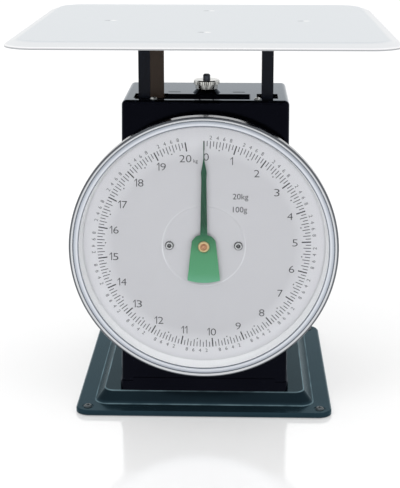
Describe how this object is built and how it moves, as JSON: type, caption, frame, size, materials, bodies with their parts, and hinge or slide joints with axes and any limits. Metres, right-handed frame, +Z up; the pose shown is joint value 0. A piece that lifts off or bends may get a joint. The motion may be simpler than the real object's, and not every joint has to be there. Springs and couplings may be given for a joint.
{
  "type": "mechanical platform dial scale",
  "caption": "Spring platform scale: square steel pan on two posts, sloping body on a square pressed base, round dial with a rack-driven needle and a zero knob.",
  "frame": {"origin": "on the ground, under the middle of the square weighing pan", "axes": "+Z up, +X to the right of someone facing the dial, +Y away from them; the dial faces -Y"},
  "size_m": [0.29, 0.29, 0.303],
  "materials": {
    "base_enamel": "glossy dark blue-green enamel",
    "body_paint": "glossy blue-black enamel",
    "pan_steel": "satin stainless sheet",
    "post_paint": "dark navy paint",
    "bronze_paint": "brown bronze finish",
    "frame_steel": "zinc-plated sheet steel",
    "fastener_steel": "bright zinc",
    "dark_screw": "painted screw heads",
    "dark_steel": "blackened steel",
    "knob_chrome": "bright plated, knurled",
    "brass": "turned brass",
    "case_white": "white enamel",
    "dial_silver": "fine satin silver with printed scale",
    "bezel_steel": "polished rolled steel",
    "lens_clear": "clear flat cover",
    "needle_green": "green enamel",
    "spring_steel": "drawn spring wire",
    "foot_rubber": "matt black rubber"
  },
  "bodies": {
    "root": {"base_pan": "base_enamel", "rubber_feet": "foot_rubber", "foot_screws": "dark_screw", "body_shell": "body_paint", "rear_cover": "body_paint", "rear_cover_screws": "fastener_steel", "top_screws": "fastener_steel", "base_screws": "fastener_steel", "front_frame_plate": "frame_steel", "rear_frame_plate": "frame_steel", "top_bridge": "frame_steel", "frame_screws": "fastener_steel", "zero_bush": "body_paint", "movement_plate": "brass", "movement_pillars": "fastener_steel", "front_bush": "brass", "rear_bush": "brass", "upper_link_rod": "fastener_steel", "lower_link_rod": "fastener_steel", "dial_standoffs": "fastener_steel", "dial_case": "case_white", "dial_plate": "dial_silver", "dial_screws": "fastener_steel", "bezel_ring": "bezel_steel", "lens": "lens_clear", "left_spring": "spring_steel", "right_spring": "spring_steel"},
    "platform": {"weighing_pan": "pan_steel", "pan_bracket": "post_paint", "left_post": "post_paint", "right_post": "post_paint", "left_post_angle": "bronze_paint", "lower_crossbar": "frame_steel", "carriage_eye_bolts": "fastener_steel", "link_pins": "fastener_steel", "rack_bar": "brass", "rack_screws": "fastener_steel"},
    "pointer": {"pointer_arbor": "fastener_steel", "pinion": "brass", "needle": "needle_green", "needle_hub": "brass", "hub_screw": "brass"},
    "zero_knob": {"zero_knob": "knob_chrome"},
    "zero_hanger": {"zero_stud": "dark_steel", "spring_yoke": "frame_steel", "yoke_eye_bolts": "fastener_steel"},
    "upper_link": {"upper_link": "frame_steel"},
    "lower_link": {"lower_link": "frame_steel"}
  },
  "joints": [
    {"name": "platform_slide", "type": "slide", "parent": "root", "child": "platform", "axis": [0, 0, -1], "range_m": [0, 0.02138], "stiffness_N_per_m": 9177, "springref_m": -0.0025, "deforming": ["left_spring", "right_spring"]},
    {"name": "pointer_turn", "type": "hinge", "parent": "root", "child": "pointer", "pos_m": [0, -0.05, 0.1372], "axis": [0, 1, 0], "range_deg": [0, 350]},
    {"name": "upper_link_swing", "type": "hinge", "parent": "root", "child": "upper_link", "pos_m": [0, 0.012, 0.21], "axis": [1, 0, 0], "range_deg": [0, 32.3]},
    {"name": "lower_link_swing", "type": "hinge", "parent": "root", "child": "lower_link", "pos_m": [0, 0.012, 0.075], "axis": [1, 0, 0], "range_deg": [0, 32.3]},
    {"name": "zero_knob_turn", "type": "hinge", "parent": "root", "child": "zero_knob", "pos_m": [0, -0.005, 0.252], "axis": [0, 0, 1], "range_deg": [-360, 360]},
    {"name": "zero_hanger_slide", "type": "slide", "parent": "root", "child": "zero_hanger", "axis": [0, 0, 1], "range_m": [-0.001, 0.001], "deforming": ["left_spring", "right_spring"]}
  ],
  "couplings": [
    {"joint": "pointer_turn", "follows": "platform_slide", "rad_per_m": 285.71},
    {"joint": "upper_link_swing", "follows": "platform_slide", "rad_per_m": 26.311},
    {"joint": "lower_link_swing", "follows": "platform_slide", "rad_per_m": 26.311},
    {"joint": "zero_knob_turn", "follows": "zero_hanger_slide", "rad_per_m": -6283.2}
  ]
}
